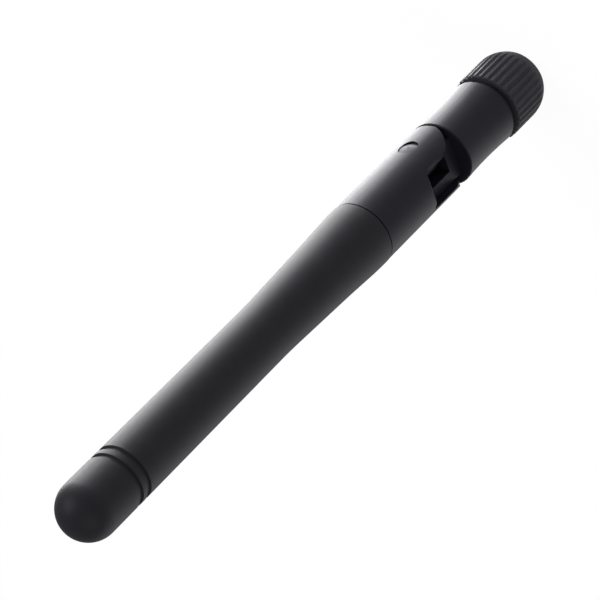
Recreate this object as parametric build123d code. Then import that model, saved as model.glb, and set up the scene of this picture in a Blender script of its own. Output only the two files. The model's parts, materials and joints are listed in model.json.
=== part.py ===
from build123d import *
import math
import os

# Tilting stub antenna, in millimetres.
# Z runs along the axis from the connector's open end (z = 0) to the domed tip.
# The hinge pins lie along X, and the arm tilts towards -Y.

# Outer lengths along the axis, in order from the connector to the tip
grip_length = 8.6
spin_gap = 0.3            # between the turning grip and the barrel
neck_length = 0.7
barrel_length = 11.4
tilt_gap = 0.3            # between the barrel's end face and the arm
arm_length = 20.2
sheath_length = 68.1

# Outer radii
neck_radius = 4.6
lip_radius = 5.18
waist_radius = 4.99
waist_height = 4.6        # of the narrowest place above the barrel's start
barrel_end_radius = 5.12
arm_radius = 5.1
mouth_radius = 5.15
flare_radius = 4.8
slim_radius = 4.3
tip_radius = 4.41

# Knurled grip
grip_radius = 5.46
rib_count = 32
rib_depth = 0.3
rib_groove_width = 0.8    # at the ribs' tops
rib_groove_floor = 0.16
grip_nose_length = 3.4    # of the ball-shaped stretch towards the open end
grip_opening_radius = 3.6
grip_rear_chamfer = 0.12
grip_shoulder_length = 1.4

# Coupling nut with a quarter-inch connector thread, bored at the thread's outer radius
nut_across_flats = 7.94
nut_corner_radius = 4.15
nut_recess = 0.6          # from the grip's open end to the nut's face
nut_rear_recess = 0.2
nut_collar_radius = 3.8
thread_radius = 3.175
thread_length = 2.8
thread_chamfer = 0.2
relief_radius = 3.35
nut_shoulder_length = 0.5

# Plug body
plug_tube_radius = 2.3
plug_tube_wall = 0.25
plug_tube_length = 0.9
plug_face_behind_nut = 3.3
neck_shaft_radius = 2.6
ring_groove_offset = 0.65   # from the neck's front step to the ring groove
ring_groove_length = 0.6
ring_groove_depth = 0.45
tail_radius = 3.0
tail_length = 5.0
barb_depth = 0.2
barb_count = 4
tail_neck_radius = 1.2
tail_chamber_length = 2.5
crimp_stub_wall = 0.28
crimp_stub_length = 3.0

# Small pieces of the plug
ring_thickness = 0.52
ring_width = 0.75
ring_opening_deg = 40.0
gasket_thickness = 0.45
gasket_width = 0.5
insulator_length = 6.2
contact_radius = 0.635
contact_bore_radius = 0.48
contact_recess = 0.2
contact_bore_depth = 3.4
contact_length = 7.8
contact_slot_width = 0.16
contact_slot_length = 2.6
contact_barb_radius = 0.8
contact_barb_length = 0.6
contact_barb_offset = 4.2
solder_cup_depth = 1.5
ferrule_wall = 0.35
ferrule_end_length = 0.6
ferrule_crimp_flats = 2.5

# Inner cable, as radii of its layers and where each is cut back
core_radius = 0.15
dielectric_radius = 0.43
braid_radius = 0.68
jacket_radius = 0.9
dielectric_strip = 0.2
braid_flare_wall = 0.18
braid_flare_gap = 0.6
jacket_start_gap = 0.2
jacket_grip_length = 1.2

# Hinge
pivot_height = 6.0        # pin axis above the barrel's end face
fork_inner = 1.3
fork_outer = 2.95
fork_half_depth = 2.55
fork_web_height = 2.2
ear_side_gap = 0.1
slot_floor_height = 2.8   # above the pin axis
slot_back = 3.3
slot_corner_round = 0.6
ear_round_radius = 4.2
relief_start = 3.9        # depth of the inner corner of the arm's front relief
relief_height = 2.0       # of that corner above the pin axis
relief_slope = 1.35       # rise of the relief per millimetre outwards
relief_fall = 0.4         # fall of its lower flank per millimetre outwards
relief_edge_round = 0.5
pin_head_radius = 1.45
pin_shank_radius = 0.95
pin_recess = 0.12         # of the domed head's middle below the arm's surface
cable_funnel_depth = 0.7
cable_funnel_radius = 1.9

# Arm and sheath
arm_cable_wall = 3.1      # solid length between the slot floor and the arm's hollow
arm_hollow_radius = 2.9
spigot_radius = 3.9
spigot_length = 9.0
spigot_groove_width = 0.7
spigot_groove_depth = 0.2
spigot_groove_count = 2
spigot_end_gap = 0.4
sheath_straight = 2.2     # from the sheath's mouth to the start of its flare
sheath_flare = 7.0        # steeper stretch next to the mouth
sheath_taper = 14.0
sheath_blend_radius = 110.0
sheath_bore_radius = 3.3
sheath_bore_cone = 1.8
ring_grooves_from_tip = (11.75, 10.05)
ring_groove_mouth = 0.9
ring_groove_floor = 0.5
ring_groove_cut = 0.34

# Dipole
sleeve_radius = 2.75
sleeve_wall = 0.25
sleeve_length = 27.0
sleeve_start = 3.6        # above the spigot's root
collar_thickness = 0.8
collar_step = 0.3
jacket_end_below_collar = 1.6
spacer_start = 0.5
spacer_length = 3.0
core_tip_gap = 10.0       # from the core's end to the sheath's tip
dielectric_end_strip = 1.5
shrink_wall = 0.15
shrink_overlap = 3.0
shrink_cone_length = 1.6
shrink_tail_length = 2.8
tip_spacer_length = 2.5
tip_spacer_drop = 3.4     # from the core's end to the disc's upper face
tip_spacer_rib = 0.4

# Edges and fits
barrel_lip_chamfer = 0.25
barrel_end_chamfer = 0.15
arm_end_chamfer = 0.15
mouth_chamfer = 0.25
run_clearance = 0.05      # radial, where one piece turns on another
seat_clearance = 0.02     # radial, where a piece is pressed or glued in
glue_clearance = 0.05
cable_clearance = 0.15

# Stations along the axis
neck_start = grip_length + spin_gap
barrel_start = neck_start + neck_length
barrel_end = barrel_start + barrel_length
waist_z = barrel_start + waist_height
pivot_z = barrel_end + pivot_height
arm_start = barrel_end + tilt_gap
seam_z = arm_start + arm_length
tip_z = seam_z + sheath_length
slot_floor_z = pivot_z + slot_floor_height
arm_hollow_z = slot_floor_z + arm_cable_wall
spigot_end_z = seam_z + spigot_length

nut_front_z = nut_recess
nut_rear_z = grip_length - nut_rear_recess
thread_end_z = nut_front_z + thread_length
plug_face_z = nut_front_z + plug_face_behind_nut
neck_step_z = plug_face_z + plug_tube_length
ring_groove_z = neck_step_z + ring_groove_offset
tail_end_z = neck_start + tail_length
crimp_end_z = tail_end_z + crimp_stub_length
insulator_end_z = plug_face_z + insulator_length
chamber_end_z = insulator_end_z + tail_chamber_length
contact_front_z = plug_face_z + contact_recess
contact_rear_z = contact_front_z + contact_length

core_start_z = contact_rear_z - solder_cup_depth
dielectric_start_z = contact_rear_z + dielectric_strip
braid_start_z = tail_end_z + jacket_start_gap
jacket_start_z = crimp_end_z + braid_flare_gap
ferrule_end_z = jacket_start_z + jacket_grip_length
sleeve_start_z = seam_z + sleeve_start
sleeve_end_z = sleeve_start_z + sleeve_length
collar_start_z = sleeve_end_z - collar_thickness
jacket_end_z = collar_start_z - jacket_end_below_collar
core_end_z = tip_z - core_tip_gap

# Radii that follow from a fit or a form
nose_end_radius = math.sqrt(grip_radius ** 2 - grip_nose_length ** 2)
stub_bore_radius = dielectric_radius + seat_clearance
stub_radius = stub_bore_radius + crimp_stub_wall
braid_bore_radius = stub_radius + seat_clearance
braid_end_radius = braid_bore_radius + braid_flare_wall
ferrule_bore_radius = max(braid_end_radius, jacket_radius) + seat_clearance
ferrule_radius = ferrule_bore_radius + ferrule_wall
cable_hole_radius = jacket_radius + cable_clearance
nut_bore_radius = neck_shaft_radius + run_clearance
plug_bore_radius = plug_tube_radius - plug_tube_wall
fork_slot_half = fork_outer + ear_side_gap
spigot_bore_radius = spigot_radius + glue_clearance


def turned_curves(*curves):
    """Solid of revolution about Z from a closed outline of curves drawn in (radius, z)."""
    return revolve(Plane.XZ * make_face(curves), Axis.Z)


def turned(*outline):
    """Solid of revolution about Z from a closed outline of (radius, z) points."""
    return turned_curves(Polyline(*outline, close=True))


def ring(inner, outer, start, end):
    """Plain tube between two heights."""
    return turned((inner, start), (outer, start), (outer, end), (inner, end))


def rod(radius, start, end):
    """Plain cylinder on the axis between two heights."""
    return Pos(0, 0, start) * Cylinder(radius, end - start, align=(Align.CENTER, Align.CENTER, Align.MIN))


def cross_rod(radius, start, end, z):
    """Cylinder along X between two values of x, at height z."""
    turn = Pos(start, 0, z) * Rot(0, 90, 0)
    return turn * Cylinder(radius, end - start, align=(Align.CENTER, Align.CENTER, Align.MIN))


def block(x_range, y_range, z_range):
    """Box between low and high corners."""
    sizes = [high - low for low, high in (x_range, y_range, z_range)]
    corner = Align.MIN
    return Pos(x_range[0], y_range[0], z_range[0]) * Box(*sizes, align=(corner, corner, corner))


def hex_prism(across_flats, start, end):
    """Hexagonal bar on the axis between two heights."""
    outline = Plane.XY.offset(start) * RegularPolygon(across_flats / 2, 6, major_radius=False)
    return extrude(outline, end - start)


def side_prism(outline, half_width):
    """Prism along X, centred on x = 0, from an outline of (y, z) points."""
    points = [(-half_width, y, z) for y, z in outline]
    return extrude(make_face(Polyline(*points, close=True)), 2 * half_width, dir=(1, 0, 0))


def knurled_grip():
    """Finger grip with a ball-shaped nose, straight ribs, a socket round the nut and a rear shoulder."""
    nose = TangentArc((grip_radius, grip_nose_length), (nose_end_radius, 0), tangent=(0, -1))
    rest = Polyline(
        (nose_end_radius, 0),
        (0, 0),
        (0, grip_length),
        (grip_radius - grip_rear_chamfer, grip_length),
        (grip_radius, grip_length - grip_rear_chamfer),
        (grip_radius, grip_nose_length),
    )
    body = turned_curves(nose, rest)
    body -= PolarLocations(0, rib_count) * rib_groove()
    body -= rod(grip_opening_radius, 0, nut_recess)
    body -= nut_outline(seat_clearance, nut_recess, grip_length - grip_shoulder_length)
    return body - rod(nut_collar_radius + seat_clearance, nut_recess, grip_length)


def rib_groove():
    """Cutter for one straight groove with sloped flanks, which runs out on the nose."""
    floor = rib_groove_floor / 2
    mouth = rib_groove_width - rib_groove_floor / 2
    outline = Polyline(
        (grip_radius - rib_depth, -floor),
        (grip_radius + rib_depth, -mouth),
        (grip_radius + rib_depth, mouth),
        (grip_radius - rib_depth, floor),
        close=True,
    )
    return extrude(make_face(outline), grip_length, dir=(0, 0, 1))


def nut_outline(clearance, start, end):
    """Hexagon with turned-down corners between two heights, larger all round by a clearance."""
    corners = rod(nut_corner_radius + clearance, start, end)
    return hex_prism(nut_across_flats + 2 * clearance, start, end) & corners


def coupling_nut():
    """Hexagonal nut with the thread's bore, a relief, a groove for the ring and a plain rear bore."""
    collar_start = grip_length - grip_shoulder_length
    body = nut_outline(0, nut_front_z, collar_start - seat_clearance)
    body += rod(nut_collar_radius, collar_start - seat_clearance, nut_rear_z)
    groove_start = ring_groove_z - run_clearance
    groove_end = ring_groove_z + ring_groove_length + run_clearance
    relief_end = groove_start - nut_shoulder_length
    groove_radius = neck_shaft_radius - ring_groove_depth + ring_width + 2 * run_clearance
    body -= turned(
        (0, nut_front_z),
        (thread_radius + thread_chamfer, nut_front_z),
        (thread_radius, nut_front_z + thread_chamfer),
        (thread_radius, thread_end_z),
        (relief_radius, thread_end_z),
        (relief_radius, relief_end),
        (nut_bore_radius, relief_end),
        (nut_bore_radius, groove_start),
        (groove_radius, groove_start),
        (groove_radius, groove_end),
        (nut_bore_radius, groove_end),
        (nut_bore_radius, nut_rear_z),
        (0, nut_rear_z),
    )
    return body


def nut_retaining_ring():
    """Split spring ring in the grooves of the plug's neck and the nut."""
    inner = neck_shaft_radius - ring_groove_depth + run_clearance
    start = ring_groove_z + (ring_groove_length - ring_thickness) / 2
    body = ring(inner, inner + ring_width, start, start + ring_thickness)
    half_gap = inner * math.tan(math.radians(ring_opening_deg / 2))
    reach = inner + 2 * ring_width
    return body - block((0, reach), (-half_gap, half_gap), (start, start + ring_thickness))


def face_gasket():
    """Rubber ring round the plug's contact tube, seated on the neck's front step."""
    inner = plug_tube_radius + seat_clearance
    outer = inner + gasket_width
    start = neck_step_z - gasket_thickness
    edge = gasket_thickness / 4
    return turned(
        (inner, start),
        (outer - edge, start),
        (outer, start + edge),
        (outer, neck_step_z - edge),
        (outer - edge, neck_step_z),
        (inner, neck_step_z),
    )


def connector_body():
    """Turned plug body: contact tube, grooved neck, barbed tail and crimp stub, with a stepped bore."""
    groove_radius = neck_shaft_radius - ring_groove_depth
    barb_pitch = tail_length / (barb_count + 1)
    barbs = []
    for index in range(barb_count):
        low = neck_start + (index + 0.5) * barb_pitch
        barbs += [(tail_radius - barb_depth, low), (tail_radius, low + barb_pitch)]
    return turned(
        (plug_bore_radius, plug_face_z),
        (plug_tube_radius, plug_face_z),
        (plug_tube_radius, neck_step_z),
        (neck_shaft_radius, neck_step_z),
        (neck_shaft_radius, ring_groove_z),
        (groove_radius, ring_groove_z),
        (groove_radius, ring_groove_z + ring_groove_length),
        (neck_shaft_radius, ring_groove_z + ring_groove_length),
        (neck_shaft_radius, neck_start),
        (tail_radius, neck_start),
        (tail_radius, neck_start + barb_pitch / 2),
        *barbs,
        (tail_radius - barb_depth, tail_end_z),
        (stub_radius, tail_end_z),
        (stub_radius, crimp_end_z),
        (stub_bore_radius, crimp_end_z),
        (stub_bore_radius, chamber_end_z),
        (tail_neck_radius, chamber_end_z),
        (tail_neck_radius, insulator_end_z),
        (plug_bore_radius, insulator_end_z),
    )


def connector_insulator():
    """Insulator between the plug body and its contact, with a groove for the contact's barb."""
    bore = contact_radius + seat_clearance
    barb_start = contact_front_z + contact_barb_offset
    barb_end = barb_start + contact_barb_length
    return turned(
        (bore, plug_face_z),
        (plug_bore_radius - seat_clearance, plug_face_z),
        (plug_bore_radius - seat_clearance, insulator_end_z),
        (bore, insulator_end_z),
        (bore, barb_end),
        (contact_barb_radius + seat_clearance, barb_end),
        (contact_barb_radius + seat_clearance, barb_start),
        (bore, barb_start),
    )


def socket_contact():
    """Centre contact: a slotted socket in front, a barb in the middle and a solder cup behind."""
    barb_start = contact_front_z + contact_barb_offset
    barb_end = barb_start + contact_barb_length
    body = turned(
        (0, contact_front_z),
        (contact_radius, contact_front_z),
        (contact_radius, barb_start),
        (contact_barb_radius, barb_start),
        (contact_radius, barb_end),
        (contact_radius, contact_rear_z),
        (0, contact_rear_z),
    )
    body -= rod(contact_bore_radius, contact_front_z, contact_front_z + contact_bore_depth)
    body -= rod(core_radius + seat_clearance, contact_rear_z - solder_cup_depth, contact_rear_z)
    half_slot = contact_slot_width / 2
    slot_z = (contact_front_z, contact_front_z + contact_slot_length)
    slot = block((-contact_radius, contact_radius), (-half_slot, half_slot), slot_z)
    return body - slot - Rot(0, 0, 90) * slot


def crimp_ferrule():
    """Ferrule over the braid and the jacket's end, crimped to a hexagon between two round ends."""
    start = braid_start_z
    crimp_start = start + ferrule_end_length
    crimp_end = ferrule_end_z - ferrule_end_length
    body = rod(ferrule_radius, start, crimp_start) + rod(ferrule_radius, crimp_end, ferrule_end_z)
    crimped = hex_prism(ferrule_crimp_flats, crimp_start, crimp_end)
    body += crimped & rod(ferrule_radius, crimp_start, crimp_end)
    return body - rod(ferrule_bore_radius, start, ferrule_end_z)


def coax_jacket():
    """Outer jacket of the inner cable, through the hinge to just below the sleeve's collar."""
    return ring(braid_radius, jacket_radius, jacket_start_z, jacket_end_z)


def coax_braid():
    """Braid of the inner cable, flared over the crimp stub."""
    return turned(
        (braid_bore_radius, braid_start_z),
        (braid_end_radius, braid_start_z),
        (braid_end_radius, crimp_end_z + seat_clearance),
        (braid_radius, jacket_start_z),
        (braid_radius, sleeve_end_z),
        (dielectric_radius, sleeve_end_z),
        (dielectric_radius, crimp_end_z + seat_clearance),
        (braid_bore_radius, crimp_end_z + seat_clearance),
    )


def coax_dielectric():
    """Insulation round the core, from the solder cup to near the core's upper end."""
    return ring(core_radius, dielectric_radius, dielectric_start_z, core_end_z - dielectric_end_strip)


def coax_core():
    """Core wire, which is also the dipole's upper half."""
    return rod(core_radius, core_start_z, core_end_z)


def base_barrel():
    """Barrel round the plug's tail, with a waisted outside and the hinge fork on its end face."""
    wall_start = barrel_start + barrel_lip_chamfer
    wall_end = barrel_end - barrel_end_chamfer
    side_end = (barrel_end_radius, wall_end)
    side = ThreePointArc((lip_radius, wall_start), (waist_radius, waist_z), side_end)
    rest = Polyline(
        side_end,
        (barrel_end_radius - barrel_end_chamfer, barrel_end),
        (0, barrel_end),
        (0, neck_start),
        (neck_radius, neck_start),
        (neck_radius, barrel_start),
        (lip_radius - barrel_lip_chamfer, barrel_start),
        (lip_radius, wall_start),
    )
    body = turned_curves(side, rest)
    body += fork()
    body -= rod(tail_radius + seat_clearance, neck_start, tail_end_z)
    body -= rod(ferrule_radius + cable_clearance, tail_end_z, ferrule_end_z + cable_clearance)
    return body - rod(cable_hole_radius, ferrule_end_z, pivot_z)


def fork():
    """Two rounded plates that carry the hinge pins, joined by a low web with the cable's hole."""
    plates = block((-fork_outer, fork_outer), (-fork_half_depth, fork_half_depth), (barrel_end, pivot_z))
    plates += cross_rod(fork_half_depth, -fork_outer, fork_outer, pivot_z)
    gap_top = pivot_z + 2 * fork_half_depth
    depth = (-2 * fork_half_depth, 2 * fork_half_depth)
    plates -= block((-fork_inner, fork_inner), depth, (barrel_end + fork_web_height, gap_top))
    return plates - cross_rod(pin_shank_radius + seat_clearance, -fork_outer, fork_outer, pivot_z)


def hinge_pin(side):
    """Headed pin: its shank is pressed in a fork plate and an ear turns on its domed head."""
    crown = arm_radius - pin_recess
    rim = math.sqrt(crown ** 2 - pin_head_radius ** 2)
    dome = TangentArc((0, crown), (pin_head_radius, rim), tangent=(1, 0))
    rest = Polyline(
        (pin_head_radius, rim),
        (pin_head_radius, fork_outer),
        (pin_shank_radius, fork_outer),
        (pin_shank_radius, fork_inner),
        (0, fork_inner),
        (0, crown),
    )
    pin = Pos(0, 0, pivot_z) * Rot(0, 90, 0) * turned_curves(dome, rest)
    return pin if side > 0 else mirror(pin, about=Plane.YZ)


def arm_outside():
    """Round arm with its ears, slot, rounded front end and front relief."""
    body = rod(arm_radius, arm_start, seam_z)
    body = chamfer(body.edges().filter_by(GeomType.CIRCLE).group_by(Axis.Z)[0], arm_end_chamfer)
    wide = 2 * arm_radius
    ear_centre_z = arm_start + ear_round_radius
    front_corner = block((-wide, wide), (-wide, 0), (0, ear_centre_z))
    body -= front_corner - cross_rod(ear_round_radius, -wide, wide, ear_centre_z)
    slot = block((-fork_slot_half, fork_slot_half), (-wide, slot_back), (0, slot_floor_z))
    slot_edges = slot.edges().filter_by(Axis.Z).sort_by(Axis.Y)[-2:]
    body -= fillet(slot_edges, slot_corner_round)
    reach = wide - relief_start
    relief_z = pivot_z + relief_height
    relief = [
        (-relief_start, relief_z),
        (-wide, relief_z + relief_slope * reach),
        (-wide, relief_z - relief_fall * reach),
    ]
    body -= side_prism(relief, wide)
    front_edges = body.edges().filter_by_position(Axis.Y, -arm_radius, -relief_start)
    return fillet(front_edges.sort_by(Axis.Z)[-1], relief_edge_round)


def hinge_arm():
    """Arm with pin holes, a flared cable hole in the slot's floor and a hollow, grooved spigot."""
    body = arm_outside() + rod(spigot_radius, seam_z, spigot_end_z)
    groove_pitch = spigot_length / (spigot_groove_count + 1)
    for index in range(spigot_groove_count):
        z = seam_z + (index + 1) * groove_pitch
        half = spigot_groove_width / 2
        body -= ring(spigot_radius - spigot_groove_depth, arm_radius, z - half, z + half)
    body -= rod(arm_hollow_radius, arm_hollow_z, spigot_end_z)
    body -= rod(cable_hole_radius, slot_floor_z, arm_hollow_z)
    body -= turned(
        (0, slot_floor_z),
        (cable_funnel_radius, slot_floor_z),
        (cable_hole_radius, slot_floor_z + cable_funnel_depth),
        (0, slot_floor_z + cable_funnel_depth),
    )
    for side in (-1, 1):
        hole = cross_rod(pin_head_radius + run_clearance, fork_outer, 2 * arm_radius, pivot_z)
        body -= hole if side > 0 else mirror(hole, about=Plane.YZ)
    return body


def radome_sheath():
    """Hollow sheath with a chamfered mouth, a long blended taper, a domed tip and two ring grooves."""
    flare_start = seam_z + sheath_straight
    flare_end = flare_start + sheath_flare
    taper_end = flare_end + sheath_taper
    dome_z = tip_z - tip_radius
    mouth_start = seam_z + mouth_chamfer
    side = FilletPolyline(
        (mouth_radius, mouth_start),
        (mouth_radius, flare_start),
        (flare_radius, flare_end),
        (slim_radius, taper_end),
        (tip_radius, dome_z),
        radius=[mouth_blend_radius(), sheath_blend_radius, sheath_blend_radius],
    )
    dome = TangentArc((tip_radius, dome_z), (0, tip_z), tangent=(0, 1))
    floor = Polyline(
        (0, tip_z),
        (0, seam_z),
        (mouth_radius - mouth_chamfer, seam_z),
        (mouth_radius, mouth_start),
    )
    body = turned_curves(side, dome, floor)
    spigot_room_end = spigot_end_z + spigot_end_gap
    bore_side = Polyline(
        (0, seam_z),
        (spigot_bore_radius, seam_z),
        (spigot_bore_radius, spigot_room_end),
        (sheath_bore_radius, spigot_room_end + sheath_bore_cone),
        (sheath_bore_radius, dome_z),
        (sheath_bore_radius / 2, dome_z + sheath_bore_radius / 2),
        (0, dome_z + sheath_bore_radius / 2),
        close=True,
    )
    body -= turned_curves(bore_side)
    for from_tip in ring_grooves_from_tip:
        body -= ring_groove(tip_z - from_tip)
    return body


def mouth_blend_radius():
    """Radius of the blend into the taper, limited by the short straight stretch at the sheath's mouth."""
    half_turn = math.atan2(mouth_radius - flare_radius, sheath_flare) / 2
    room = 0.9 * (sheath_straight - mouth_chamfer)
    return min(sheath_blend_radius, room / math.tan(half_turn))


def ring_groove(z):
    """Cutter for one ring groove with sloped flanks, centred at height z."""
    inner = tip_radius - ring_groove_cut
    outer = tip_radius + ring_groove_cut
    floor = ring_groove_floor / 2
    mouth = ring_groove_mouth - ring_groove_floor / 2
    return turned((inner, z - floor), (inner, z + floor), (outer, z + mouth), (outer, z - mouth))


def choke_sleeve():
    """Thin brass tube round the cable, the dipole's lower half."""
    return ring(sleeve_radius - sleeve_wall, sleeve_radius, sleeve_start_z, sleeve_end_z)


def sleeve_collar():
    """Stepped ring that joins the sleeve's upper end to the braid."""
    outer = sleeve_radius - sleeve_wall - seat_clearance
    inner = braid_radius + seat_clearance
    step_z = collar_start_z + collar_thickness / 2
    return turned(
        (inner, collar_start_z),
        (outer - collar_step, collar_start_z),
        (outer - collar_step, step_z),
        (outer, step_z),
        (outer, sleeve_end_z),
        (inner, sleeve_end_z),
    )


def lower_spacer():
    """Ring that centres the cable in the sleeve's lower end."""
    start = sleeve_start_z + spacer_start
    outer = sleeve_radius - sleeve_wall - seat_clearance
    return ring(jacket_radius + seat_clearance, outer, start, start + spacer_length)


def feed_heat_shrink():
    """Shrink tube over the sleeve's upper end, drawn in to the insulated core above it."""
    inner_low = sleeve_radius + seat_clearance
    inner_high = dielectric_radius + seat_clearance
    start = sleeve_end_z - shrink_overlap
    shoulder = sleeve_end_z + seat_clearance
    cone_end = shoulder + shrink_cone_length
    end = cone_end + shrink_tail_length
    return turned(
        (inner_low, start),
        (inner_low + shrink_wall, start),
        (inner_low + shrink_wall, shoulder + shrink_wall),
        (inner_high + shrink_wall, cone_end + shrink_wall),
        (inner_high + shrink_wall, end),
        (inner_high, end),
        (inner_high, cone_end),
        (inner_low, shoulder),
    )


def tip_spacer():
    """Disc with a raised rim that centres the core's upper end in the sheath."""
    top = core_end_z - tip_spacer_drop
    bottom = top - tip_spacer_length
    outer = sheath_bore_radius - glue_clearance
    inner = dielectric_radius + seat_clearance
    rim = outer - 2 * tip_spacer_rib
    return turned(
        (inner, bottom),
        (outer, bottom),
        (outer, top),
        (rim, top),
        (rim, top - tip_spacer_rib),
        (inner + 2 * tip_spacer_rib, top - tip_spacer_rib),
        (inner + 2 * tip_spacer_rib, top),
        (inner, top),
    )


pieces = {
    "knurled_grip": knurled_grip(),
    "coupling_nut": coupling_nut(),
    "nut_retaining_ring": nut_retaining_ring(),
    "face_gasket": face_gasket(),
    "connector_body": connector_body(),
    "connector_insulator": connector_insulator(),
    "socket_contact": socket_contact(),
    "crimp_ferrule": crimp_ferrule(),
    "coax_jacket": coax_jacket(),
    "coax_braid": coax_braid(),
    "coax_dielectric": coax_dielectric(),
    "coax_core": coax_core(),
    "base_barrel": base_barrel(),
    "hinge_pin_right": hinge_pin(1),
    "hinge_pin_left": hinge_pin(-1),
    "hinge_arm": hinge_arm(),
    "radome_sheath": radome_sheath(),
    "choke_sleeve": choke_sleeve(),
    "sleeve_collar": sleeve_collar(),
    "lower_spacer": lower_spacer(),
    "feed_heat_shrink": feed_heat_shrink(),
    "tip_spacer": tip_spacer(),
}

os.makedirs("parts", exist_ok=True)
for name, solid in pieces.items():
    export_step(solid, f"parts/{name}.step")
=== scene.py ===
import json
import math

import bmesh
import bpy
from mathutils import Matrix, Vector


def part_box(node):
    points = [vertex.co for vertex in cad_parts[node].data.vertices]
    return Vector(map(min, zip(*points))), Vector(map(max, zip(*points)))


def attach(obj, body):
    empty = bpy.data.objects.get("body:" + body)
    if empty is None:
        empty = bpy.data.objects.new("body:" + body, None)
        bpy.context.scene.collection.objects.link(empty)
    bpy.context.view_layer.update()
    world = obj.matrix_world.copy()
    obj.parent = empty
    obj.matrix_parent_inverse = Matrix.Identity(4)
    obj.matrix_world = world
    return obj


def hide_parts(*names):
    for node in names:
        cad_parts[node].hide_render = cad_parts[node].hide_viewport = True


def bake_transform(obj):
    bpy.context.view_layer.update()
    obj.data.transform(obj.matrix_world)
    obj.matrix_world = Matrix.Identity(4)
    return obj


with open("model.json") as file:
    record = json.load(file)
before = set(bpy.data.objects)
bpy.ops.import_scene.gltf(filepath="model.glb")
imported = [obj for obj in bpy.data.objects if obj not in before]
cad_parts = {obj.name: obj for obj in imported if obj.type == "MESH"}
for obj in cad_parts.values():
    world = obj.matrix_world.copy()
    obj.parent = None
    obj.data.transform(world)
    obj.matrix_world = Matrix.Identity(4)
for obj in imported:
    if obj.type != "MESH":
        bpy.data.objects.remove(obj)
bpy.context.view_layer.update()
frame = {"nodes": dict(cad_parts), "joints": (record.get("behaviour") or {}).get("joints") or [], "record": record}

MILLIMETRE = 0.001
INCH = 0.0254

# Camera, from a pinhole fit to the photograph, in metres and degrees
VIEW_AZIMUTH = 37.05
VIEW_ELEVATION = 37.4
VIEW_ROLL = -135.15
VIEW_DISTANCE = 0.50208
VIEW_AIM = (-0.00093, 0.00061, 0.05646)
VIEW_LENS = 220.73
SENSOR_WIDTH = 36.0
NEAREST_SEEN = 0.01
FARTHEST_SEEN = 20.0

# Horizontal directions in the picture: across to its upper left, and towards the camera
ACROSS = Vector((0.8, 0.6, 0.0))
TOWARD = Vector((0.6, -0.8, 0.0))

# Edges sharper than this angle show as edges
SHARP_ANGLE = math.radians(30)

# Points this near to the axis or to a height count as on it, and places are rounded to a micrometre
ON_AXIS = 0.001 * MILLIMETRE
SAME_HEIGHT = 0.01 * MILLIMETRE
METRE_DIGITS = 6

# The sheath's bore is narrower than this radius and ends below this distance from the tip
SHEATH_BORE_LIMIT = 4.0 * MILLIMETRE
SHEATH_SOLID_TIP = 2.7 * MILLIMETRE
SHEATH_SEGMENTS = 160

# Heights between which the cable bends about the tilt axis, and the distance from one ring to the next
TILT_AXIS = Vector(next(j["pos_m"] for j in frame["joints"] if j["name"] == "arm_tilt"))
BEND_START = TILT_AXIS.z - 0.0037
BEND_END = TILT_AXIS.z + 0.0030
BENDING_STEP = 0.25 * MILLIMETRE
STRAIGHT_STEP = 4 * MILLIMETRE

# The cable's layers, each with its slot and the number of segments round it
CABLE_LAYERS = {
    "coax_jacket": ("cable_jacket", 40),
    "coax_braid": ("cable_braid", 32),
    "coax_dielectric": ("cable_dielectric", 24),
    "coax_core": ("cable_core", 16),
}

# Quarter-inch connector thread, 36 turns to the inch, and where its ridge starts above the nut's end
THREAD_PITCH = INCH / 36
THREAD_MAJOR_RADIUS = INCH / 8
THREAD_DEPTH = 0.5413 * THREAD_PITCH
THREAD_START = 0.5 * MILLIMETRE
THREAD_TURNS = 3.25
THREAD_STEPS_PER_TURN = 48

# Half widths of the ridge as shares of the pitch, and how far it is sunk into the bore's wall
THREAD_FOOT_SHARE = 0.4375
THREAD_CREST_SHARE = 0.125
THREAD_SUNK = 0.01 * MILLIMETRE

# The ridge fades over a quarter turn at each end, down to this share of its height
THREAD_FADES_PER_TURN = 4
THREAD_LEAST_HEIGHT = 0.05

# Slightly violet cast of the black plastics in the photograph, as factors on the record's colours
NO_TINT = (1.0, 1.0, 1.0)
COOL_TINT = (1.04, 1.0, 1.2)
GRIP_TINT = (1.3, 1.27, 1.4)

# Plastics: roughness, grain size and depth in millimetres, mottling, specular level and tint
PLASTICS = {
    "grip_plastic": (0.55, 0.09, 0.0015, 0.12, 0.3, GRIP_TINT),
    "hinge_plastic": (0.42, 0.2, 0.001, 0.08, 0.25, COOL_TINT),
    "sheath_plastic": (0.48, 0.09, 0.004, 0.08, 0.25, COOL_TINT),
    "cable_jacket": (0.35, 0.3, 0.003, 0.1, 0.5, NO_TINT),
    "shrink_black": (0.45, 0.3, 0.006, 0.1, 0.5, NO_TINT),
}

# Metals: roughness, then pitch and depth of the turning marks in millimetres
METALS = {
    "nut_brass": (0.2, 0.07, 0.002),
    "plug_brass": (0.14, 0.05, 0.001),
    "spring_bronze": (0.3, 0.05, 0.001),
    "ferrule_brass": (0.28, 0.09, 0.002),
    "dipole_brass": (0.3, 0.3, 0.001),
    "cable_core": (0.2, 0.4, 0.001),
}

# Roughness of the pale plastics
PALE_PLASTICS = {
    "insulator_white": 0.35,
    "cable_dielectric": 0.35,
    "spacer_plastic": 0.4,
}

# Floor: its radius, its white as the camera sees it, how far shadows darken it, and how it lights the part
FLOOR_RADIUS = 3.0
FLOOR_SEGMENTS = 96
FLOOR_WHITE = 0.95
FLOOR_SHADOW = 0.12
FLOOR_BOUNCE = 0.8

# Painted reflection: the floor's glow as gloss alone sees it, a brightness at angles either way from a heading
# near the camera's side
PAINTED_GLOSS_HEADING = -13.0
PAINTED_GLOSS_LEVELS = ((35.0, 0.42), (75.0, 0.95), (115.0, 0.95), (140.0, 0.25))

# Strength of the even light from the surroundings
ROOM_LIGHT = 0.25

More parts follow.
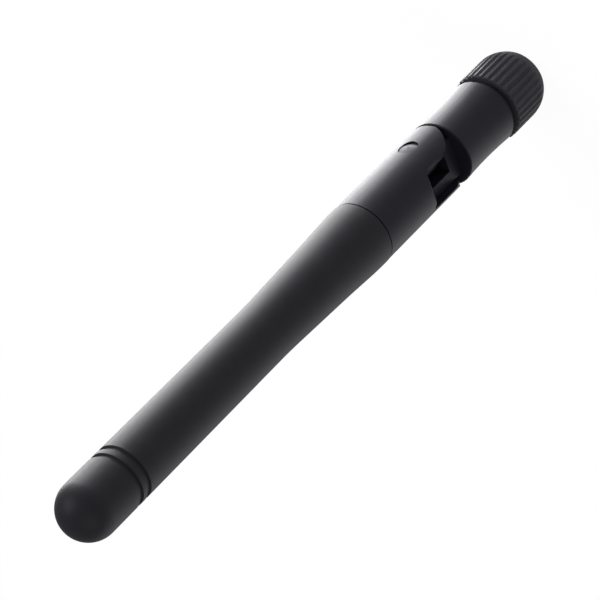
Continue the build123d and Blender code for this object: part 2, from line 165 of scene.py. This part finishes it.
# Square soft lamps: metres across, towards the camera and up from the part's middle, width and radiance
PART_MIDDLE = Vector((0, 0, 0.055))
LAMPS = {
    "key": (0.7, 0.0, 0.6, 0.5, 2.4),
    "fill": (-0.6, 0.3, 0.7, 0.6, 0.6),
}

# Panels on the floor: heading from the camera's side, first distance from the part, and how they grow
PANEL_HEADING = 115.0
PANEL_START = 0.008
PANEL_GROWTH = 1.32
PANEL_COUNT = 12
PANEL_SPREAD = 1.4
PANEL_RADIANCE = 6.0
PANEL_LIFT = 0.001


def slot_colour(slot):
    """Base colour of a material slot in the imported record."""
    for entry in frame["record"]["materials"]:
        if entry["slot"] == slot:
            return tuple(entry["base_color"][:3]) + (1.0,)
    raise KeyError(slot)


def shade(colour, factor):
    """The same colour, lighter or darker."""
    return tuple(min(1.0, c * factor) for c in colour[:3]) + (1.0,)


def tinted(colour, tint):
    """The same colour with its red, green and blue each multiplied."""
    return tuple(c * t for c, t in zip(colour, tint)) + (1.0,)


class Shader:
    """A material's node tree with short calls for the nodes that the materials here share."""

    def __init__(self, slot):
        self.material = bpy.data.materials.new(slot)
        self.material.use_nodes = True
        self.tree = self.material.node_tree
        self.surface = self.tree.nodes["Principled BSDF"]
        self.coordinates = self.node("ShaderNodeTexCoord").outputs["Object"]

    def node(self, kind, **settings):
        """A new node of a kind, with its settings."""
        made = self.tree.nodes.new(kind)
        for name, value in settings.items():
            setattr(made, name, value)
        return made

    def link(self, out_socket, in_socket):
        """Feeds one socket from another."""
        self.tree.links.new(out_socket, in_socket)

    def mapped(self, scale, turn=(0.0, 0.0, 0.0)):
        """Object coordinates scaled along the axes and turned by angles about them."""
        mapping = self.node("ShaderNodeMapping")
        mapping.inputs["Scale"].default_value = scale
        mapping.inputs["Rotation"].default_value = turn
        self.link(self.coordinates, mapping.inputs["Vector"])
        return mapping.outputs["Vector"]

    def noise(self, size, detail=2.0, roughness=0.5, stretch=(1.0, 1.0, 1.0)):
        """Noise whose features are about size metres across, stretched along the axes."""
        texture = self.node("ShaderNodeTexNoise")
        texture.inputs["Scale"].default_value = 1.0
        texture.inputs["Detail"].default_value = detail
        texture.inputs["Roughness"].default_value = roughness
        self.link(self.mapped([1.0 / (size * s) for s in stretch]), texture.inputs["Vector"])
        return texture.outputs["Fac"]

    def bands(self, pitch, direction, turn=(0.0, 0.0, 0.0), distortion=0.0):
        """Bands across a direction with the given pitch in metres, turned by angles about the axes."""
        texture = self.node("ShaderNodeTexWave", wave_type="BANDS", bands_direction=direction)
        texture.inputs["Scale"].default_value = 0.5
        texture.inputs["Distortion"].default_value = distortion
        self.link(self.mapped([1.0 / pitch] * 3, turn), texture.inputs["Vector"])
        return texture.outputs["Fac"]

    def ramp(self, value, low, high, start=0.3, end=0.7):
        """A number that goes from low to high as value goes from start to end."""
        spread = self.node("ShaderNodeMapRange")
        spread.inputs["From Min"].default_value = start
        spread.inputs["From Max"].default_value = end
        spread.inputs["To Min"].default_value = low
        spread.inputs["To Max"].default_value = high
        self.link(value, spread.inputs["Value"])
        return spread.outputs["Result"]

    def colour(self, value, low, high, start=0.3, end=0.7):
        """Base colour that varies between two colours with value."""
        ramp = self.node("ShaderNodeValToRGB")
        ramp.color_ramp.elements[0].position = start
        ramp.color_ramp.elements[0].color = low
        ramp.color_ramp.elements[1].position = end
        ramp.color_ramp.elements[1].color = high
        self.link(value, ramp.inputs["Fac"])
        self.link(ramp.outputs["Color"], self.surface.inputs["Base Color"])

    def roughness(self, value, low, high):
        """Roughness that varies between two numbers with value."""
        self.link(self.ramp(value, low, high), self.surface.inputs["Roughness"])

    def bump(self, *layers):
        """Layers of (height, depth in metres), each on top of the one before."""
        normal = None
        for height, depth in layers:
            bump = self.node("ShaderNodeBump")
            bump.inputs["Distance"].default_value = depth
            self.link(height, bump.inputs["Height"])
            if normal is not None:
                self.link(normal, bump.inputs["Normal"])
            normal = bump.outputs["Normal"]
        self.link(normal, self.surface.inputs["Normal"])


def moulded_plastic(slot, roughness, grain_size, grain_depth, mottle, specular, tint):
    """Moulded plastic with a fine eroded grain, slow mottling and slightly uneven gloss."""
    shader = Shader(slot)
    colour = tinted(slot_colour(slot), tint)
    mottling = shader.noise(2.5 * MILLIMETRE, detail=3.0)
    grain = shader.noise(grain_size, detail=3.0, roughness=0.6)
    shader.colour(mottling, shade(colour, 1 - mottle), shade(colour, 1 + mottle))
    shader.roughness(grain, roughness - 0.05, roughness + 0.05)
    flow = shader.noise(6 * MILLIMETRE, detail=1.0, stretch=(0.6, 0.6, 2.0))
    shader.bump((flow, 0.004 * MILLIMETRE), (grain, grain_depth))
    shader.surface.inputs["Specular IOR Level"].default_value = specular
    return shader.material


def turned_metal(slot, roughness, pitch, depth):
    """Plated metal with fine turning marks and slight stains."""
    shader = Shader(slot)
    colour = slot_colour(slot)
    stain = shader.noise(1.2 * MILLIMETRE, detail=4.0)
    marks = shader.bands(pitch, "Z", distortion=0.4)
    shader.colour(stain, shade(colour, 0.86), shade(colour, 1.06))
    shader.roughness(stain, roughness, roughness + 0.12)
    shader.bump((marks, depth), (shader.noise(0.1 * MILLIMETRE), depth * 0.5))
    shader.surface.inputs["Metallic"].default_value = 1.0
    return shader.material


def waxy_plastic(slot, roughness):
    """Unpigmented insulating plastic, faintly cloudy and slightly translucent."""
    shader = Shader(slot)
    colour = slot_colour(slot)
    cloud = shader.noise(0.8 * MILLIMETRE, detail=3.0)
    shader.colour(cloud, shade(colour, 0.94), shade(colour, 1.03))
    shader.roughness(cloud, roughness, roughness + 0.1)
    shader.bump((shader.noise(0.15 * MILLIMETRE), 0.004 * MILLIMETRE))
    shader.surface.inputs["Subsurface Weight"].default_value = 0.15
    shader.surface.inputs["Subsurface Scale"].default_value = 0.3 * MILLIMETRE
    return shader.material


def silicone(slot):
    """Soft rubber with a dusty, matte skin."""
    shader = Shader(slot)
    colour = slot_colour(slot)
    dust = shader.noise(0.3 * MILLIMETRE, detail=4.0)
    shader.colour(dust, shade(colour, 0.9), shade(colour, 1.15))
    shader.roughness(dust, 0.55, 0.7)
    shader.bump((shader.noise(0.08 * MILLIMETRE), 0.005 * MILLIMETRE))
    return shader.material


def woven_braid(slot):
    """Silvered braid: two crossing sets of fine wires round the cable."""
    shader = Shader(slot)
    colour = slot_colour(slot)
    wire_pitch = 0.16 * MILLIMETRE
    lean = (math.radians(45), math.radians(35), 0.0)
    cross = shader.node("ShaderNodeMath", operation="MAXIMUM")
    for direction, height in zip(("X", "Y"), cross.inputs):
        shader.link(shader.bands(wire_pitch, direction, lean), height)
    wires = cross.outputs["Value"]
    # The gaps between the wires are darkened: painted shade in the braid's hollows
    shader.colour(wires, shade(colour, 0.35), shade(colour, 1.1), 0.2, 0.8)
    shader.roughness(wires, 0.25, 0.4)
    shader.bump((wires, 0.03 * MILLIMETRE))
    shader.surface.inputs["Metallic"].default_value = 1.0
    return shader.material


def make_materials():
    """One material for each slot of the record."""
    materials = {
        "cable_braid": woven_braid("cable_braid"),
        "gasket_rubber": silicone("gasket_rubber"),
    }
    for slot, (roughness, size, depth, mottle, specular, tint) in PLASTICS.items():
        materials[slot] = moulded_plastic(
            slot, roughness, size * MILLIMETRE, depth * MILLIMETRE, mottle, specular, tint
        )
    for slot, (roughness, pitch, depth) in METALS.items():
        materials[slot] = turned_metal(slot, roughness, pitch * MILLIMETRE, depth * MILLIMETRE)
    for slot, roughness in PALE_PLASTICS.items():
        materials[slot] = waxy_plastic(slot, roughness)
    return materials


def dress_nodes(materials):
    """Gives each CAD node the material of its slot."""
    for entry in frame["record"]["subparts"]:
        node = frame["nodes"][entry["node"]]
        for material_slot in node.material_slots:
            material_slot.material = materials[entry["material_slot"]]


def new_piece(name, mesh, material):
    """Links a finished bmesh as an object with one material."""
    data = bpy.data.meshes.new(name)
    bmesh.ops.recalc_face_normals(mesh, faces=mesh.faces)
    mesh.to_mesh(data)
    mesh.free()
    for polygon in data.polygons:
        polygon.use_smooth = True
    data.set_sharp_from_angle(angle=SHARP_ANGLE)
    data.materials.append(material)
    piece = bpy.data.objects.new(name, data)
    bpy.context.scene.collection.objects.link(piece)
    return piece


def lathe(name, outline, material, segments):
    """Closed mesh turned about Z from a closed outline of (radius, z) points, some of them on the axis."""
    mesh = bmesh.new()
    rows = []
    for radius, z in outline:
        if radius < ON_AXIS:
            rows.append([mesh.verts.new((0, 0, z))] * segments)
            continue
        row = []
        for index in range(segments):
            angle = 2 * math.pi * index / segments
            row.append(mesh.verts.new((radius * math.cos(angle), radius * math.sin(angle), z)))
        rows.append(row)
    for low, high in zip(rows, rows[1:] + rows[:1]):
        for index in range(segments):
            following = (index + 1) % segments
            corners = dict.fromkeys((low[index], low[following], high[following], high[index]))
            if len(corners) > 2:
                mesh.faces.new(corners)
    return new_piece(name, mesh, material)


def vertex_places(node):
    """Height and radius of each vertex of a turned node."""
    places = [vertex.co for vertex in frame["nodes"][node].data.vertices]
    return [(place.z, math.hypot(place.x, place.y)) for place in places]


def outline_rows(places):
    """Places of (z, radius) in order of z, without those at the same height as the one before."""
    rows = []
    for z, radius in sorted(places):
        if not rows or z - rows[-1][1] > SAME_HEIGHT:
            rows.append((radius, z))
    return rows


def smooth_sheath(materials):
    """The turned sheath again with many more segments, on the outline of the node's own vertices."""
    bore_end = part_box("radome_sheath")[1].z - SHEATH_SOLID_TIP
    outer = []
    inner = []
    for z, radius in vertex_places("radome_sheath"):
        side = outer if radius > SHEATH_BORE_LIMIT or z > bore_end else inner
        side.append((z, radius))
    bore_floor = (0.0, max(inner)[0])
    outline = outline_rows(outer) + [bore_floor] + outline_rows(inner)[::-1]
    sheath = lathe("smooth_sheath", outline, materials["sheath_plastic"], SHEATH_SEGMENTS)
    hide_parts("radome_sheath")
    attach(sheath, "arm")


def thread_ridge(materials):
    """Helical ridge of the coupling thread, which stands on the nut's bore and fades out at both ends."""
    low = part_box("coupling_nut")[0].z + THREAD_START
    foot = THREAD_MAJOR_RADIUS + THREAD_SUNK
    steps = int(THREAD_STEPS_PER_TURN * THREAD_TURNS)
    mesh = bmesh.new()
    rows = []
    for step in range(steps + 1):
        turns = step / THREAD_STEPS_PER_TURN
        turns_left = (steps - step) / THREAD_STEPS_PER_TURN
        fade = min(1.0, THREAD_FADES_PER_TURN * turns, THREAD_FADES_PER_TURN * turns_left)
        crest = THREAD_MAJOR_RADIUS - THREAD_DEPTH * max(THREAD_LEAST_HEIGHT, fade)
        section = (
            (foot, -THREAD_FOOT_SHARE),
            (crest, -THREAD_CREST_SHARE),
            (crest, THREAD_CREST_SHARE),
            (foot, THREAD_FOOT_SHARE),
        )
        angle = 2 * math.pi * turns
        row = []
        for radius, share in section:
            z = low + THREAD_PITCH * turns + THREAD_PITCH * share
            row.append(mesh.verts.new((radius * math.cos(angle), radius * math.sin(angle), z)))
        rows.append(row)
    for first, second in zip(rows, rows[1:]):
        for index in range(len(first)):
            following = (index + 1) % len(first)
            mesh.faces.new((first[index], first[following], second[following], second[index]))
    mesh.faces.new(rows[0])
    mesh.faces.new(rows[-1][::-1])
    ridge = new_piece("thread_ridge", mesh, materials["nut_brass"])
    for polygon in ridge.data.polygons:
        polygon.use_smooth = False
    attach(ridge, "nut")


def side_lines(node):
    """The outer and the inner side of a turned node, each as (radius, height) points from the bottom up."""
    levels = {}
    for z, radius in vertex_places(node):
        levels.setdefault(round(z, METRE_DIGITS), set()).add(round(radius, METRE_DIGITS))
    outer = []
    inner = []
    for z, radii in sorted(levels.items()):
        largest, *others = sorted(radii, reverse=True)
        outer.append(Vector((largest, z)))
        inner += [Vector((radius, z)) for radius in others]
    if not inner:
        inner = [Vector((0.0, outer[0].y)), Vector((0.0, outer[-1].y))]
    return outer, inner


def stations(start, end):
    """Heights from start to end, close together where the cable bends."""
    heights = [start]
    while heights[-1] < end:
        bending = BEND_START - STRAIGHT_STEP < heights[-1] < BEND_END + BENDING_STEP
        heights.append(min(end, heights[-1] + (BENDING_STEP if bending else STRAIGHT_STEP)))
    return heights


def with_stations(line):
    """A side line with more points on it where the cable bends."""
    points = [line[0]]
    for start, end in zip(line, line[1:]):
        rise = end.y - start.y
        if rise > 0:
            points += [start.lerp(end, (z - start.y) / rise) for z in stations(start.y, end.y)[1:]]
        else:
            points.append(end)
    return points


def bending_cable(materials):
    """The cable's layers on the nodes' own outlines, as meshes with rings close together where they cross the
    hinge.
    """
    for node, (slot, segments) in CABLE_LAYERS.items():
        outer, inner = side_lines(node)
        outline = with_stations(outer) + with_stations(inner)[::-1]
        piece = lathe(f"bent_{node}", [tuple(point) for point in outline], materials[slot], segments)
        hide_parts(node)
        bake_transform(piece)


def make_camera():
    """Camera at the photograph's viewing angle."""
    azimuth, elevation, roll = (math.radians(v) for v in (VIEW_AZIMUTH, VIEW_ELEVATION, VIEW_ROLL))
    back = Vector((
        math.sin(azimuth) * math.cos(elevation),
        -math.cos(azimuth) * math.cos(elevation),
        math.sin(elevation),
    ))
    level = Vector((math.cos(azimuth), math.sin(azimuth), 0))
    upright = back.cross(level)
    right = level * math.cos(roll) + upright * math.sin(roll)
    up = upright * math.cos(roll) - level * math.sin(roll)
    data = bpy.data.cameras.new("camera")
    data.lens = VIEW_LENS
    data.sensor_width = SENSOR_WIDTH
    data.clip_start = NEAREST_SEEN
    data.clip_end = FARTHEST_SEEN
    camera = bpy.data.objects.new("camera", data)
    turn = Matrix((right, up, back)).transposed().to_4x4()
    camera.matrix_world = Matrix.Translation(Vector(VIEW_AIM) + back * VIEW_DISTANCE) @ turn
    bpy.context.scene.collection.objects.link(camera)
    bpy.context.scene.camera = camera


def area_lamp(name, place, target, side, width, height, radiance):
    """Rectangular soft lamp of an even radiance, aimed at target, its width along side."""
    data = bpy.data.lights.new(name, "AREA")
    data.shape = "RECTANGLE"
    data.size = width
    data.size_y = height
    data.energy = radiance * math.pi * width * height
    lamp = bpy.data.objects.new(name, data)
    backward = (place - target).normalized()
    level = (side - backward * side.dot(backward)).normalized()
    turn = Matrix((level, backward.cross(level), backward)).transposed().to_4x4()
    lamp.matrix_world = Matrix.Translation(place) @ turn
    bpy.context.scene.collection.objects.link(lamp)


def edge_panels():
    """Row of panels lying beside the part, each further one larger, that light its upper left edge."""
    lift = Vector((0, 0, PANEL_LIFT))
    heading = math.radians(PANEL_HEADING)
    outward = TOWARD * math.cos(heading) + ACROSS * math.sin(heading)
    near = PANEL_START
    for index in range(PANEL_COUNT):
        far = near * PANEL_GROWTH
        place = outward * (near + far) / 2 + lift
        width = PANEL_SPREAD * (near + far) / 2
        area_lamp(f"panel_{index}", place, place + lift, outward, far - near, width, PANEL_RADIANCE)
        near = far


def painted_gloss_levels(tree):
    """Painted reflection: glow of the floor in gloss from the angle round the part, lower before and behind it."""
    place = tree.nodes.new("ShaderNodeTexCoord")
    mapping = tree.nodes.new("ShaderNodeMapping")
    heading = math.atan2(TOWARD.y, TOWARD.x) + math.radians(PAINTED_GLOSS_HEADING)
    mapping.inputs["Rotation"].default_value = (0, 0, -heading)
    tree.links.new(place.outputs["Object"], mapping.inputs["Vector"])
    # The gradient goes once from 0 to 1 round the part and is a half at the heading
    angle = tree.nodes.new("ShaderNodeTexGradient")
    angle.gradient_type = "RADIAL"
    tree.links.new(mapping.outputs["Vector"], angle.inputs["Vector"])
    aside = tree.nodes.new("ShaderNodeMath")
    aside.operation = "SUBTRACT"
    aside.inputs[1].default_value = 0.5
    tree.links.new(angle.outputs["Fac"], aside.inputs[0])
    either_way = tree.nodes.new("ShaderNodeMath")
    either_way.operation = "ABSOLUTE"
    tree.links.new(aside.outputs["Value"], either_way.inputs[0])
    ramp = tree.nodes.new("ShaderNodeValToRGB")
    ramp.color_ramp.interpolation = "EASE"
    while len(ramp.color_ramp.elements) < len(PAINTED_GLOSS_LEVELS):
        ramp.color_ramp.elements.new(1.0)
    for element, (degrees, level) in zip(ramp.color_ramp.elements, PAINTED_GLOSS_LEVELS):
        element.position = degrees / 360
        element.color = (level, level, level, 1)
    tree.links.new(either_way.outputs["Value"], ramp.inputs["Fac"])
    return ramp.outputs["Color"]


def floor_material():
    """White floor that keeps a faint shadow, and glows in gloss with a painted reflection, brighter beside the
    part than before and behind it.
    """
    material = bpy.data.materials.new("floor")
    material.use_nodes = True
    tree = material.node_tree
    tree.nodes.clear()
    path = tree.nodes.new("ShaderNodeLightPath")
    plain = tree.nodes.new("ShaderNodeBsdfDiffuse")
    plain.inputs["Color"].default_value = (FLOOR_BOUNCE, FLOOR_BOUNCE, FLOOR_BOUNCE, 1)
    faint = tree.nodes.new("ShaderNodeBsdfDiffuse")
    faint.inputs["Color"].default_value = (FLOOR_SHADOW, FLOOR_SHADOW, FLOOR_SHADOW, 1)
    output = tree.nodes.new("ShaderNodeOutputMaterial")
    surface = plain.outputs["BSDF"]
    for ray in ("Is Glossy Ray", "Is Transmission Ray", "Is Camera Ray"):
        glow = tree.nodes.new("ShaderNodeEmission")
        glow.inputs["Strength"].default_value = FLOOR_WHITE
        # Gloss sees a painted reflection here: a glow set by the angle round the part, not by a lamp
        if ray == "Is Glossy Ray":
            tree.links.new(painted_gloss_levels(tree), glow.inputs["Strength"])
        white = tree.nodes.new("ShaderNodeAddShader")
        tree.links.new(glow.outputs["Emission"], white.inputs[0])
        tree.links.new(faint.outputs["BSDF"], white.inputs[1])
        choice = tree.nodes.new("ShaderNodeMixShader")
        tree.links.new(path.outputs[ray], choice.inputs["Fac"])
        tree.links.new(surface, choice.inputs[1])
        tree.links.new(white.outputs["Shader"], choice.inputs[2])
        surface = choice.outputs["Shader"]
    tree.links.new(surface, output.inputs["Surface"])
    return material


def make_world():
    """White to the camera, soft grey light on the part."""
    world = bpy.data.worlds.new("surroundings")
    world.use_nodes = True
    bpy.context.scene.world = world
    tree = world.node_tree
    background = tree.nodes["Background"]
    path = tree.nodes.new("ShaderNodeLightPath")
    seen = tree.nodes.new("ShaderNodeMath")
    seen.operation = "MAXIMUM"
    tree.links.new(path.outputs["Is Camera Ray"], seen.inputs[0])
    tree.links.new(path.outputs["Is Transmission Ray"], seen.inputs[1])
    strength = tree.nodes.new("ShaderNodeMapRange")
    strength.inputs["To Min"].default_value = ROOM_LIGHT
    strength.inputs["To Max"].default_value = 1.0
    tree.links.new(seen.outputs["Value"], strength.inputs["Value"])
    tree.links.new(strength.outputs["Result"], background.inputs["Strength"])
    background.inputs["Color"].default_value = (1, 1, 1, 1)


def make_stage():
    """Pale floor, white surroundings and soft lamps."""
    mesh = bmesh.new()
    bmesh.ops.create_circle(mesh, cap_ends=True, segments=FLOOR_SEGMENTS, radius=FLOOR_RADIUS)
    floor = new_piece("floor", mesh, floor_material())
    edge_panels()
    for name, (across, toward, up, width, radiance) in LAMPS.items():
        place = PART_MIDDLE + ACROSS * across + TOWARD * toward + Vector((0, 0, up))
        area_lamp(name, place, PART_MIDDLE, TOWARD, width, width, radiance)
    make_world()


make_camera()
finishes = make_materials()
dress_nodes(finishes)
bending_cable(finishes)
smooth_sheath(finishes)
thread_ridge(finishes)
make_stage()
bpy.context.scene.view_settings.view_transform = "Standard"
